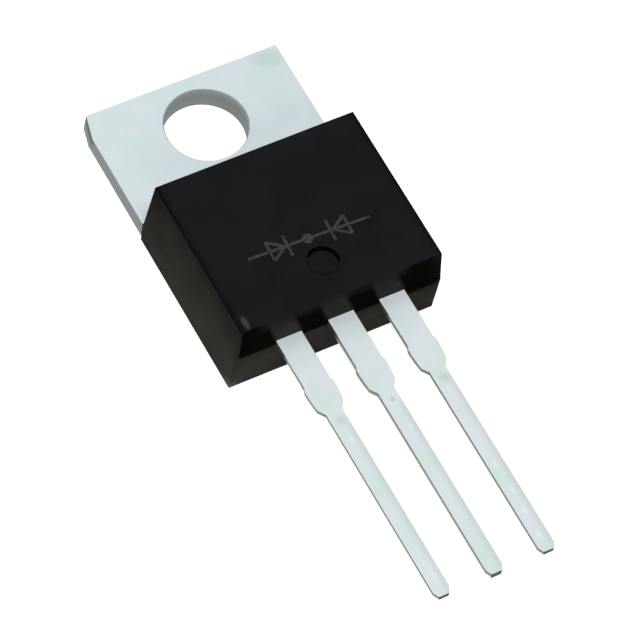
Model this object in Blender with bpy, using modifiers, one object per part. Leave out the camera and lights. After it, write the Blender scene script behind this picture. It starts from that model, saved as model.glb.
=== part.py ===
"""A dual Schottky rectifier in a three-lead, screw-mounted power package. Metres, +Z up.

The package lies on its back: the bare metal face is on z = 0, the marked face of the moulding
looks up, the leads run towards -Y and the tab with its screw hole towards +Y. Pin 1 is at -X.
"""

import math

import bmesh
import bpy
from mathutils import Vector

# Package, measured from the edge of the moulding where the leads come out
PACKAGE_LENGTH = 0.0150
BODY_BACK_WIDTH = 0.0102
BODY_SIDE_DRAFT = 0.00018
BODY_HEIGHT = 0.0045
BODY_LENGTH = 0.0088
FRONT_SETBACK = 0.00023
BACK_SETBACK = 0.0003
PARTING_RISE = 0.00015
TAB_WALL_DRAFT = 0.00037
BODY_EDGE_RADIUS = 0.00007
EJECTOR_DIAMETER = 0.0015
EJECTOR_DEPTH = 0.0002
EJECTOR_FROM_LEADS = 0.00205

# Heat spreader with its tab
TAB_SIDE_STEP = 0.00013
TAB_OFFSET = -0.0001
TAB_THICKNESS = 0.00115
HOLE_DIAMETER = 0.00386
HOLE_FROM_END = 0.00262
HOLE_FROM_TAB_CENTRE = 0.00006
HOLE_BREAK = 0.00005
TAB_EDGE_ROLL = 0.0002
SHOULDER_RELIEF = 0.00004
CORNER_CUT_ACROSS = 0.00031
CORNER_CUT_ALONG = 0.00125
CORNER_CUT_FOOT = 0.7
SLUG_WALL = 0.0012
SLUG_INSET = 0.0026
LOCK_LEDGE_WIDTH = 0.0004
LOCK_LEDGE_HEIGHT = 0.0005
LOCK_LEDGE_DROP = 0.0001

# Leads
LEAD_PITCH = 0.00254
LEAD_HEIGHT = 0.00256
LEAD_THICKNESS = 0.00038
LEAD_LENGTH = 0.01382
LEAD_ROOT_WIDTH = 0.00125
LEAD_NARROW_WIDTH = 0.00078
STUB_WIDTH = 0.0014
STUB_START = 0.00248
STUB_RUN_OUT = 0.0002
STUB_TAPER = 0.00007
NECK_START = 0.00372
NECK_LENGTH = 0.00033
TIP_WIDTH = 0.00048
TIP_LENGTH = 0.0003
PAD_WIDTH = 0.0026
PAD_LENGTH = 0.0013
PAD_INSET = 0.0010
PAD_SHOULDER = 0.0003
JOGGLE_RADIUS = 0.0005
JOGGLE_ANGLE = math.radians(60)
JOGGLE_DROP = 0.0001
JOGGLE_BITE = 0.0004

# Dies, solder and bond wires
DIE_SIDE = 0.0024
DIE_THICKNESS = 0.00028
DIE_SPACING = 0.0040
DIE_FROM_SLUG_END = 0.0027
SOLDER_THICKNESS = 0.00006
SOLDER_MARGIN = 0.0001
WIRE_DIAMETER = 0.00038
WIRE_SPACING = 0.0011
WIRE_FOOT = 0.0006
WIRE_COVER = 0.0006

# Play between touching pieces, and how far a cutter runs past what it cuts
CLEARANCE = 0.00002
OVERRUN = 0.0005

# Resolution of round shapes
HOLE_SIDES = 64
EJECTOR_SIDES = 40
WIRE_STEPS = 18
BEND_STEPS = 6
STUB_STEPS = 5

# Places worked out from the sizes above
TAB_WIDTH = BODY_BACK_WIDTH - 2 * TAB_SIDE_STEP
SLUG_WIDTH = BODY_BACK_WIDTH - 2 * SLUG_WALL
PARTING_HEIGHT = LEAD_HEIGHT + PARTING_RISE
LEAD_TOP = LEAD_HEIGHT + LEAD_THICKNESS
LEAD_MIDDLE = LEAD_HEIGHT + LEAD_THICKNESS / 2
JOGGLE_FOOT = TAB_THICKNESS - JOGGLE_DROP - LEAD_THICKNESS / 2
HOLE_Y = PACKAGE_LENGTH - HOLE_FROM_END
SHOULDER_Y = BODY_LENGTH + CLEARANCE
DIE_Y = SLUG_INSET + DIE_FROM_SLUG_END
SOLDER_BOTTOM = TAB_THICKNESS + CLEARANCE
DIE_BOTTOM = SOLDER_BOTTOM + SOLDER_THICKNESS + CLEARANCE
DIE_TOP = DIE_BOTTOM + DIE_THICKNESS
WIRE_RADIUS = WIRE_DIAMETER / 2
FRAME_Y = (LEAD_LENGTH - PACKAGE_LENGTH) / 2
WELD = 1e-7


def clear_scene():
    """Removes every object, so that the script can be run again."""
    for thing in list(bpy.data.objects):
        bpy.data.objects.remove(thing)


def new_collection(name):
    collection = bpy.data.collections.new(name)
    bpy.context.scene.collection.children.link(collection)
    return collection


def new_material(name, colour, roughness, metallic):
    material = bpy.data.materials.new(name)
    material.use_nodes = True
    shader = material.node_tree.nodes["Principled BSDF"]
    shader.inputs["Base Color"].default_value = (*colour, 1)
    shader.inputs["Roughness"].default_value = roughness
    shader.inputs["Metallic"].default_value = metallic
    return material


def new_object(name, data, collection):
    """Links an object of this data, carried by the frame empty."""
    thing = bpy.data.objects.new(name, data)
    thing.parent = bpy.data.objects["package_frame"]
    collection.objects.link(thing)
    return thing


def weld(mesh):
    """Joins the caps of a converted curve to its sides, each cap one face, all facing out."""
    shape = bmesh.new()
    shape.from_mesh(mesh)
    bmesh.ops.remove_doubles(shape, verts=shape.verts, dist=WELD)
    bmesh.ops.dissolve_limit(
        shape, angle_limit=math.radians(0.2), verts=shape.verts, edges=shape.edges
    )
    bmesh.ops.recalc_face_normals(shape, faces=shape.faces)
    shape.to_mesh(mesh)
    shape.free()


def as_mesh(curve_object, collection):
    """Puts a welded mesh object in the place of a curve object."""
    name = curve_object.name
    bpy.context.view_layer.update()
    graph = bpy.context.evaluated_depsgraph_get()
    mesh = bpy.data.meshes.new_from_object(curve_object.evaluated_get(graph))
    place = curve_object.matrix_local.copy()
    curve = curve_object.data
    bpy.data.objects.remove(curve_object)
    bpy.data.curves.remove(curve)
    weld(mesh)
    mesh.name = name
    thing = new_object(name, mesh, collection)
    thing.matrix_local = place
    return thing


def add_loop(curve, points):
    spline = curve.splines.new("POLY")
    spline.points.add(len(points) - 1)
    for target, point in zip(spline.points, points):
        target.co = (*point, 0, 1)
    spline.use_cyclic_u = True


def plate(name, loops, low, high, collection):
    """A flat plate with these outlines, from one height to another."""
    curve = bpy.data.curves.new(name, "CURVE")
    curve.dimensions = "2D"
    curve.fill_mode = "BOTH"
    curve.extrude = (high - low) / 2
    for points in loops:
        add_loop(curve, points)
    thing = new_object(name, curve, collection)
    thing.location.z = (low + high) / 2
    return as_mesh(thing, collection)


def block(name, size, centre, collection):
    shape = bmesh.new()
    bmesh.ops.create_cube(shape, size=1)
    bmesh.ops.scale(shape, vec=size, verts=shape.verts)
    mesh = bpy.data.meshes.new(name)
    shape.to_mesh(mesh)
    shape.free()
    thing = new_object(name, mesh, collection)
    thing.location = centre
    return thing


def cylinder(name, radius, low, high, centre, sides, collection, top_radius=None):
    shape = bmesh.new()
    top = radius if top_radius is None else top_radius
    bmesh.ops.create_cone(
        shape, cap_ends=True, segments=sides, radius1=radius, radius2=top, depth=high - low
    )
    mesh = bpy.data.meshes.new(name)
    shape.to_mesh(mesh)
    shape.free()
    thing = new_object(name, mesh, collection)
    thing.location = (*centre, (low + high) / 2)
    return thing


def hide_cutter(thing):
    thing.hide_render = True
    thing.display_type = "WIRE"
    return thing


def boolean(target, other, operation):
    modifier = target.modifiers.new(f"{operation.lower()}_{other.name}", "BOOLEAN")
    modifier.operation = operation
    modifier.solver = "EXACT"
    modifier.object = hide_cutter(other)


def round_edges(target, radius, segments, chosen):
    """Rounds the edges for which chosen(edge) is true, by a weight on each of them."""
    mesh = target.data
    weight = mesh.attributes.new("bevel_weight_edge", "FLOAT", "EDGE")
    for edge, value in zip(mesh.edges, weight.data):
        ends = [mesh.vertices[index].co for index in edge.vertices]
        value.value = 1.0 if chosen(*ends) else 0.0
    modifier = target.modifiers.new("rounded_edges", "BEVEL")
    modifier.limit_method = "WEIGHT"
    modifier.width = radius
    modifier.segments = segments
    modifier.use_clamp_overlap = True


def finish(thing, material, smooth_angle=30):
    thing.data.materials.clear()
    thing.data.materials.append(material)
    thing.data.shade_smooth()
    thing.data.set_sharp_from_angle(angle=math.radians(smooth_angle))
    return thing


def mirrored(side):
    """A closed outline from the points of its +X side, listed from -Y to +Y."""
    return list(side) + [(-x, y) for x, y in reversed(side)]


def shifted(points, across):
    return [(x + across, y) for x, y in points]


def lead_side(grow):
    """The +X side of a lead from its tip to where it enters the moulding."""
    root = LEAD_ROOT_WIDTH / 2
    stub = STUB_WIDTH / 2
    narrow = LEAD_NARROW_WIDTH / 2
    side = [
        (TIP_WIDTH / 2, -LEAD_LENGTH),
        (narrow, TIP_LENGTH - LEAD_LENGTH),
        (narrow, -NECK_START - NECK_LENGTH),
    ]
    bulge_end = -STUB_START - STUB_RUN_OUT
    for step in range(STUB_STEPS + 1):
        share = 1 - step / STUB_STEPS
        along = bulge_end + (-NECK_START - bulge_end) * share
        side.append((stub - STUB_TAPER * share**2, along))
    side.append((root, -STUB_START))
    return [(x + grow, y) for x, y in side]


def anode_outline(grow):
    """A lead that ends inside the moulding in a wide pad for its bond wires."""
    root = LEAD_ROOT_WIDTH / 2 + grow
    pad = PAD_WIDTH / 2 + grow
    inner = [
        (root, PAD_INSET - PAD_SHOULDER - grow),
        (pad, PAD_INSET - grow),
        (pad, PAD_INSET + PAD_LENGTH + grow),
    ]
    return mirrored(lead_side(grow) + inner)


def joggle_slope():
    """Length of the straight stretch between the two bends."""
    rise = LEAD_MIDDLE - JOGGLE_FOOT
    bends = 2 * JOGGLE_RADIUS * (1 - math.cos(JOGGLE_ANGLE))
    return (rise - bends) / math.sin(JOGGLE_ANGLE)


def joggle_start():
    """How far from the edge of the moulding the centre lead leaves its level."""
    run = 2 * JOGGLE_RADIUS * math.sin(JOGGLE_ANGLE) + joggle_slope() * math.cos(JOGGLE_ANGLE)
    return SLUG_INSET - run


def bent(run):
    """Where a point this far past the start of the joggle lies: (y, z) and the slope there."""
    bend = JOGGLE_RADIUS * JOGGLE_ANGLE
    slope = joggle_slope()
    first = min(max(run, 0.0), bend) / JOGGLE_RADIUS
    second = min(max(run - bend - slope, 0.0), bend) / JOGGLE_RADIUS
    straight = min(max(run - bend, 0.0), slope)
    after = max(run - 2 * bend - slope, 0.0)
    turned = JOGGLE_ANGLE - second
    along = JOGGLE_RADIUS * (math.sin(first) + math.sin(JOGGLE_ANGLE) - math.sin(turned))
    along += straight * math.cos(JOGGLE_ANGLE) + after + min(run, 0.0)
    drop = JOGGLE_RADIUS * (1 - math.cos(first) + math.cos(turned) - math.cos(JOGGLE_ANGLE))
    drop += straight * math.sin(JOGGLE_ANGLE)
    return joggle_start() + along, LEAD_MIDDLE - drop, first - second


def bend_blank(mesh):
    """Cuts a flat lead across at every step of its two bends and folds it down to the slug."""
    bend = JOGGLE_RADIUS * JOGGLE_ANGLE
    steps = [bend * step / BEND_STEPS for step in range(BEND_STEPS + 1)]
    runs = steps + [bend + joggle_slope() + step for step in steps]
    shape = bmesh.new()
    shape.from_mesh(mesh)
    for run in runs:
        bmesh.ops.bisect_plane(
            shape,
            geom=shape.verts[:] + shape.edges[:] + shape.faces[:],
            plane_co=(0, joggle_start() + run, 0),
            plane_no=(0, 1, 0),
        )
    for point in shape.verts:
        if point.co.y > joggle_start():
            along, level, slope = bent(point.co.y - joggle_start())
            point.co.y = along + point.co.z * math.sin(slope)
            point.co.z = level - LEAD_MIDDLE + point.co.z * math.cos(slope)
    shape.to_mesh(mesh)
    shape.free()


def centre_lead(name, grow, collection):
    """The centre lead as one bent strip, from its tip to its bite in the slug."""
    folded = 2 * JOGGLE_RADIUS * JOGGLE_ANGLE + joggle_slope() + JOGGLE_BITE
    side = lead_side(grow)
    side.append((LEAD_ROOT_WIDTH / 2 + grow, joggle_start() + folded))
    low = LEAD_HEIGHT - grow
    high = LEAD_TOP + grow
    lead = plate(name, [mirrored(side)], low, high, collection)
    bend_blank(lead.data)
    return lead


def tab_outline():
    """Slug and tab as one plate: the shoulders stand against the end of the moulding."""
    low = TAB_OFFSET - TAB_WIDTH / 2
    high = TAB_OFFSET + TAB_WIDTH / 2
    neck = [(SLUG_WIDTH / 2, SLUG_INSET), (SLUG_WIDTH / 2, SHOULDER_Y + SHOULDER_RELIEF)]
    end = [
        (high, SHOULDER_Y),
        (high, PACKAGE_LENGTH),
        (low + CORNER_CUT_ACROSS, PACKAGE_LENGTH),
        (low, PACKAGE_LENGTH - CORNER_CUT_ALONG),
        (low, SHOULDER_Y),
    ]
    return neck + end + [(-x, y) for x, y in reversed(neck)]


def lean_corner(mesh):
    """Leans the tab's cut corner out towards the back, where less of it is cut."""
    left = TAB_OFFSET - TAB_WIDTH / 2
    spared = 1 - CORNER_CUT_FOOT
    for point in mesh.vertices:
        if point.co.z < 0 and abs(point.co.y - PACKAGE_LENGTH) < WELD and point.co.x < 0:
            point.co.x = left + CORNER_CUT_ACROSS * CORNER_CUT_FOOT
        cut_end = PACKAGE_LENGTH - CORNER_CUT_ALONG
        if point.co.z < 0 and abs(point.co.y - cut_end) < WELD and abs(point.co.x - left) < WELD:
            point.co.y += CORNER_CUT_ALONG * spared


def ledge_outline(grow):
    """The coined ledge that locks the slug in the moulding."""
    half = SLUG_WIDTH / 2 + LOCK_LEDGE_WIDTH + grow
    near = SLUG_INSET + LOCK_LEDGE_WIDTH - grow
    far = BODY_LENGTH - 2 * LOCK_LEDGE_WIDTH + grow
    return mirrored([(half, near), (half, far)])


def make_heatsink_tab(parts, cutters, metal):
    """Slug, tab and centre lead: one stamped piece in two thicknesses."""
    tab = plate("heatsink_tab", [tab_outline()], 0, TAB_THICKNESS, parts)
    lean_corner(tab.data)
    round_edges(
        tab,
        TAB_EDGE_ROLL,
        3,
        lambda a, b: max(a.z, b.z) < 0 and max(a.y, b.y) > SHOULDER_Y + OVERRUN,
    )
    top = TAB_THICKNESS - LOCK_LEDGE_DROP
    ledge = plate("lock_ledge", [ledge_outline(0)], top - LOCK_LEDGE_HEIGHT, top, cutters)
    boolean(tab, ledge, "UNION")
    boolean(tab, centre_lead("centre_lead", 0, cutters), "UNION")
    centre = (TAB_OFFSET + HOLE_FROM_TAB_CENTRE, HOLE_Y)
    hole = cylinder(
        "screw_hole", HOLE_DIAMETER / 2, -OVERRUN, TAB_THICKNESS + OVERRUN, centre, HOLE_SIDES, cutters
    )
    boolean(tab, hole, "DIFFERENCE")
    rim = cylinder(
        "screw_hole_break",
        HOLE_DIAMETER / 2 - HOLE_BREAK,
        TAB_THICKNESS - 2 * HOLE_BREAK,
        TAB_THICKNESS + 2 * HOLE_BREAK,
        centre,
        HOLE_SIDES,
        cutters,
        top_radius=HOLE_DIAMETER / 2 + 3 * HOLE_BREAK,
    )
    boolean(tab, rim, "DIFFERENCE")
    return finish(tab, metal)


def make_anode_lead(name, across, parts, metal):
    outline = shifted(anode_outline(0), across)
    lead = plate(name, [outline], LEAD_HEIGHT, LEAD_TOP, parts)
    return finish(lead, metal)


def make_die(number, across, parts, silicon, solder):
    """One Schottky die and the solder that holds it on the slug."""
    side = DIE_SIDE + 2 * SOLDER_MARGIN
    layer = block(
        f"die_solder_{number}",
        (side, side, SOLDER_THICKNESS),
        (across, DIE_Y, SOLDER_BOTTOM + SOLDER_THICKNESS / 2),
        parts,
    )
    finish(layer, solder)
    die = block(
        f"schottky_die_{number}",
        (DIE_SIDE, DIE_SIDE, DIE_THICKNESS),
        (across, DIE_Y, DIE_BOTTOM + DIE_THICKNESS / 2),
        parts,
    )
    return finish(die, silicon)


def wire_path(die_x, pad_x):
    """Centre line of a bond wire: a foot on the die, a smooth loop, a foot on the lead's pad."""
    low = DIE_TOP + CLEARANCE + WIRE_RADIUS
    high = LEAD_TOP + CLEARANCE + WIRE_RADIUS
    top = BODY_HEIGHT - WIRE_COVER - WIRE_RADIUS
    pad_y = PAD_INSET + PAD_LENGTH / 2
    take_off = Vector((die_x, DIE_Y - WIRE_FOOT / 2, low))
    landing = Vector((pad_x, pad_y + WIRE_FOOT / 2, high))
    span = take_off.y - landing.y
    # Height of the two middle control points that brings the loop to its top
    control = (top - 0.064 * low - 0.216 * high) / 0.72
    first = Vector((die_x, take_off.y - span / 4, control))
    second = Vector((pad_x, landing.y + span / 3, control))
    path = [take_off + Vector((0, WIRE_FOOT, 0))]
    for step in range(WIRE_STEPS + 1):
        t = step / WIRE_STEPS
        u = 1 - t
        path.append(
            take_off * u**3 + first * 3 * u * u * t + second * 3 * u * t * t + landing * t**3
        )
    path.append(landing - Vector((0, WIRE_FOOT, 0)))
    return path


def tube(name, path, radius, collection):
    curve = bpy.data.curves.new(name, "CURVE")
    curve.dimensions = "3D"
    curve.bevel_depth = radius
    curve.bevel_resolution = 2
    curve.use_fill_caps = True
    spline = curve.splines.new("POLY")
    spline.points.add(len(path) - 1)
    for target, point in zip(spline.points, path):
        target.co = (*point, 1)
    return as_mesh(new_object(name, curve, collection), collection)


def make_wires(number, die_x, pad_x, parts, cutters, aluminium):
    """Two parallel bond wires from a die to its lead, and the room that each takes up."""
    rooms = []
    for letter, offset in (("a", -WIRE_SPACING / 2), ("b", WIRE_SPACING / 2)):
        path = wire_path(die_x + offset, pad_x + offset)
        wire = tube(f"bond_wire_{number}{letter}", path, WIRE_RADIUS, parts)
        finish(wire, aluminium, 60)
        rooms.append(tube(f"room_wire_{number}{letter}", path, WIRE_RADIUS + CLEARANCE, cutters))
    return rooms


def wall_places(height):
    """Half the moulding's width and where its two ends stand, at this height."""
    half = BODY_BACK_WIDTH / 2 - BODY_SIDE_DRAFT * height / BODY_HEIGHT
    above_tab = max(height - TAB_THICKNESS, 0.0) / (BODY_HEIGHT - TAB_THICKNESS)
    above_parting = max(height - PARTING_HEIGHT, 0.0) / (BODY_HEIGHT - PARTING_HEIGHT)
    below_parting = max(PARTING_HEIGHT - height, 0.0) / PARTING_HEIGHT
    near = FRONT_SETBACK * above_parting + BACK_SETBACK * below_parting
    return half, near, BODY_LENGTH - TAB_WALL_DRAFT * above_tab


def drafted_block(parts):
    """The moulding's outside: a cube cut where its drafts begin, each ring set to its own size."""
    heights = (0.0, TAB_THICKNESS, PARTING_HEIGHT, BODY_HEIGHT)
    mesh = bpy.data.meshes.new("moulded_body")
    shape = bmesh.new()
    bmesh.ops.create_cube(shape, size=1)
    rings = len(heights) - 1
    for cut in range(1, rings):
        bmesh.ops.bisect_plane(
            shape,
            geom=shape.verts[:] + shape.edges[:] + shape.faces[:],
            plane_co=(0, 0, cut / rings - 0.5),
            plane_no=(0, 0, 1),
        )
    for corner in shape.verts:
        height = heights[round((corner.co.z + 0.5) * rings)]
        half, near, far = wall_places(height)
        along = far if corner.co.y > 0 else near
        corner.co = (math.copysign(half, corner.co.x), along, height)
    shape.to_mesh(mesh)
    shape.free()
    return new_object("moulded_body", mesh, parts)


def body_rooms(cutters):
    """The room that the metal takes up inside the moulding, with its clearance."""
    half = SLUG_WIDTH / 2 + CLEARANCE
    side = [(half, SLUG_INSET - CLEARANCE), (half, BODY_LENGTH + OVERRUN)]
    level = TAB_THICKNESS + CLEARANCE
    slug = plate("room_slug", [mirrored(side)], -OVERRUN, level, cutters)
    top = TAB_THICKNESS - LOCK_LEDGE_DROP + CLEARANCE
    bottom = top - LOCK_LEDGE_HEIGHT - 2 * CLEARANCE
    ledge = plate("room_ledge", [ledge_outline(CLEARANCE)], bottom, top, cutters)
    rooms = [slug, ledge, centre_lead("room_lead_2", CLEARANCE, cutters)]
    low = LEAD_HEIGHT - CLEARANCE
    high = LEAD_TOP + CLEARANCE
    for number, across in ((1, -LEAD_PITCH), (3, LEAD_PITCH)):
        outline = shifted(anode_outline(CLEARANCE), across)
        rooms.append(plate(f"room_lead_{number}", [outline], low, high, cutters))
    side = DIE_SIDE + 2 * SOLDER_MARGIN + 2 * CLEARANCE
    die_height = DIE_TOP + CLEARANCE - TAB_THICKNESS
    for number, across in ((1, -DIE_SPACING / 2), (2, DIE_SPACING / 2)):
        centre = (across, DIE_Y, TAB_THICKNESS + die_height / 2)
        rooms.append(block(f"room_die_{number}", (side, side, die_height), centre, cutters))
    return rooms


def make_body(parts, cutters, wire_rooms, epoxy):
    """The moulding: drafted walls, rounded front edges, ejector mark and the room inside."""
    body = drafted_block(parts)
    round_edges(
        body,
        BODY_EDGE_RADIUS,
        3,
        lambda a, b: min(a.z, b.z) > PARTING_HEIGHT + WELD or abs(a.z - b.z) > WELD,
    )
    mark = cylinder(
        "ejector_mark",
        EJECTOR_DIAMETER / 2,
        BODY_HEIGHT - EJECTOR_DEPTH,
        BODY_HEIGHT + OVERRUN,
        (0, EJECTOR_FROM_LEADS),
        EJECTOR_SIDES,
        cutters,
    )
    boolean(body, mark, "DIFFERENCE")
    for room in body_rooms(cutters) + wire_rooms:
        boolean(body, room, "DIFFERENCE")
    return finish(body, epoxy)


def main():
    clear_scene()
    frame = bpy.data.objects.new("package_frame", None)
    bpy.context.scene.collection.objects.link(frame)
    frame.location.y = FRAME_Y
    parts = new_collection("schottky_diode")
    cutters = new_collection("cutters")
    epoxy = new_material("moulding_epoxy", (0.012, 0.012, 0.013), 0.55, 0)
    tin = new_material("matte_tin", (0.66, 0.69, 0.70), 0.38, 1)
    silicon = new_material("die_silicon", (0.12, 0.12, 0.14), 0.2, 0.6)
    solder = new_material("soft_solder", (0.45, 0.45, 0.46), 0.4, 1)
    aluminium = new_material("bond_aluminium", (0.80, 0.80, 0.82), 0.25, 1)
    make_heatsink_tab(parts, cutters, tin)
    wire_rooms = []
    for number, side in ((1, -1), (2, 1)):
        pad_x = side * LEAD_PITCH
        die_x = side * DIE_SPACING / 2
        make_anode_lead(f"anode_lead_{number}", pad_x, parts, tin)
        make_die(number, die_x, parts, silicon, solder)
        wire_rooms += make_wires(number, die_x, pad_x, parts, cutters, aluminium)
    make_body(parts, cutters, wire_rooms, epoxy)


main()
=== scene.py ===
"""A dual Schottky rectifier in a three-lead package with a screw tab, dressed for its photograph.

The package lies on its bare metal back. Sizes are in metres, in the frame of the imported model:
+X runs across the leads, +Y towards the tab and +Z out of the marked face.
"""

import logging
import math
from dataclasses import dataclass
from enum import Enum
from functools import cache, cached_property, reduce
from typing import Callable, Iterable, Sequence

import bmesh
import bpy
from bmesh.types import BMEdge, BMesh
from bpy.types import Material, Mesh, Node, NodeSocket as Socket, NodeTree, Object
from mathutils import Matrix, Vector


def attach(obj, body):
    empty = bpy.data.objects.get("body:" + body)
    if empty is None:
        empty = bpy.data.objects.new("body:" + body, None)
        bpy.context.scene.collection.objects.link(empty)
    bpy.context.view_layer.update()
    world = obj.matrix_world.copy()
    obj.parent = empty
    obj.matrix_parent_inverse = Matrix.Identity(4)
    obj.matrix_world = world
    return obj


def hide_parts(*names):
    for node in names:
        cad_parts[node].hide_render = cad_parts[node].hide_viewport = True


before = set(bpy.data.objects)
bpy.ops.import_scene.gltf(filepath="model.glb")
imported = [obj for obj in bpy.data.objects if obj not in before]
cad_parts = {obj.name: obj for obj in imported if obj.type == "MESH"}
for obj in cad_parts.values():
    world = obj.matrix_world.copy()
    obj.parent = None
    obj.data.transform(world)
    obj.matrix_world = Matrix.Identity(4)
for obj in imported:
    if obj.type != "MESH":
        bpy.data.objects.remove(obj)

LOG = logging.getLogger("schottky_diode")
MM = 0.001
PITCH = 2.54 * MM
WELD = 0.0005 * MM
NOISE_SPAN = (0.3, 0.7)
NODE_STEP = 180
FACE_WEIGHT = 80

Colour = tuple[float, float, float]
Point = tuple[float, float]
Place = tuple[float, float, float]
Finishes = dict[str, Material]


class Side(Enum):
    """The two diodes of the package, by the number in their CAD nodes' names."""

    LEFT = 1
    RIGHT = 2


class Surface(Enum):
    """Material slots of the moulding: the mould's finishes, and near-black slots that paint shade
    on the front's side edges and the ejector mark's wall.
    """

    SPARKED = 0
    POLISHED_WALL = 1
    EDGE_SHADE = 2
    EJECTOR_SHADE = 3


# Shader building


class NodeSheet:
    """Adds and joins nodes in one tree with short calls."""

    def __init__(self, tree: NodeTree) -> None:
        """Keeps a material's, world's or group's tree and empties it."""
        self.tree = tree
        tree.nodes.clear()

    def add(
        self, kind: str, values: dict[str | int, object] | None = None, **settings: object
    ) -> Node:
        """Adds one node.

        Args:
            kind: The node's type name.
            values: Values for its inputs by name or number, or sockets to link to them.
            **settings: Attributes to set before the inputs.

        Returns:
            The new node.
        """
        node = self.tree.nodes.new(kind)
        node.location = (len(self.tree.nodes) * NODE_STEP, 0)
        for name, value in settings.items():
            setattr(node, name, value)
        for name, value in (values or {}).items():
            self.feed(node, name, value)
        return node

    def feed(self, node: Node, name: str | int, value: object) -> None:
        """Sets an input, or links a socket to it.

        Args:
            node: The node that takes the value.
            name: The input's name or number.
            value: A plain value or an output socket.
        """
        target = node.inputs[name]
        if isinstance(value, Socket):
            self.tree.links.new(value, target)
        else:
            target.default_value = value

    def math(self, operation: str, *values: object) -> Socket:
        """The result of a Math node, from numbers and sockets."""
        return self.add("ShaderNodeMath", dict(enumerate(values)), operation=operation).outputs[0]

    def product(self, *factors: object) -> Socket:
        """The product of numbers and sockets."""
        return reduce(lambda left, right: self.math("MULTIPLY", left, right), factors)

    def blend(self, share: object, first: object, second: object) -> Socket:
        """The first colour mixed with a share of the second."""
        values = {0: share, 6: first, 7: second}
        return self.add("ShaderNodeMix", values, data_type="RGBA").outputs[2]

    def scaled(self, colour: object, factor: Socket) -> Socket:
        """A colour's socket or values, made lighter or darker."""
        values = {0: colour, "Scale": factor}
        return self.add("ShaderNodeVectorMath", values, operation="SCALE").outputs[0]

    def ramp(
        self, value: Socket, low: object, high: object, first: float = 0.0, last: float = 1.0
    ) -> Socket:
        """Maps a value from low and high to first and last, and holds it there."""
        values = dict(enumerate((value, low, high, first, last)))
        return self.add("ShaderNodeMapRange", values, clamp=True).outputs[0]


def rgba(colour: Colour) -> tuple[float, float, float, float]:
    """A colour with full opacity."""
    return (*colour, 1.0)


def group_socket(
    tree: NodeTree, name: str, direction: str, kind: str, value: float | None = None
) -> None:
    """Adds a named input or output to a node group.

    Args:
        tree: The group.
        name: The socket's name.
        direction: INPUT or OUTPUT.
        kind: What it carries, such as Float.
        value: Default of an input.
    """
    socket = tree.interface.new_socket(
        name=name, in_out=direction, socket_type=f"NodeSocket{kind}"
    )
    if value is not None:
        socket.default_value = value


@cache
def grain_group() -> NodeTree:
    """The shared surface grain: fine grain and slow cloudiness, from object coordinates.

    Returns:
        A group with the inputs Position, Grain Size and Cloud Size, in millimetres, and the
        outputs Grain and Cloud, both from 0 to 1.
    """
    tree = bpy.data.node_groups.new("Surface Grain", "ShaderNodeTree")
    group_socket(tree, "Position", "INPUT", "Vector")
    group_socket(tree, "Grain Size", "INPUT", "Float", 0.03)
    group_socket(tree, "Cloud Size", "INPUT", "Float", 2.0)
    group_socket(tree, "Grain", "OUTPUT", "Float")
    group_socket(tree, "Cloud", "OUTPUT", "Float")
    sheet = NodeSheet(tree)
    source = sheet.add("NodeGroupInput").outputs
    result = sheet.add("NodeGroupOutput")
    for out, detail in (("Grain", 4.0), ("Cloud", 2.0)):
        scale = sheet.math("DIVIDE", 1 / MM, source[f"{out} Size"])
        values = {"Vector": source["Position"], "Scale": scale, "Detail": detail}
        sheet.feed(result, out, sheet.add("ShaderNodeTexNoise", values).outputs["Fac"])
    return tree


@cache
def wall_group() -> NodeTree:
    """The shared mask of walls: 1 where the surface stands upright, 0 where it lies flat.

    Returns:
        A group with the inputs Normal and Softness and the output Wall.
    """
    tree = bpy.data.node_groups.new("Wall Mask", "ShaderNodeTree")
    group_socket(tree, "Normal", "INPUT", "Vector")
    group_socket(tree, "Softness", "INPUT", "Float", 0.2)
    group_socket(tree, "Wall", "OUTPUT", "Float")
    sheet = NodeSheet(tree)
    source = sheet.add("NodeGroupInput").outputs
    result = sheet.add("NodeGroupOutput")
    split = sheet.add("ShaderNodeSeparateXYZ", {0: source["Normal"]})
    height = sheet.math("ABSOLUTE", split.outputs["Z"])
    top = sheet.math("SUBTRACT", 1.0, source["Softness"])
    sheet.feed(result, "Wall", sheet.ramp(height, source["Softness"], top, 1.0, 0.0))
    return tree


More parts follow.
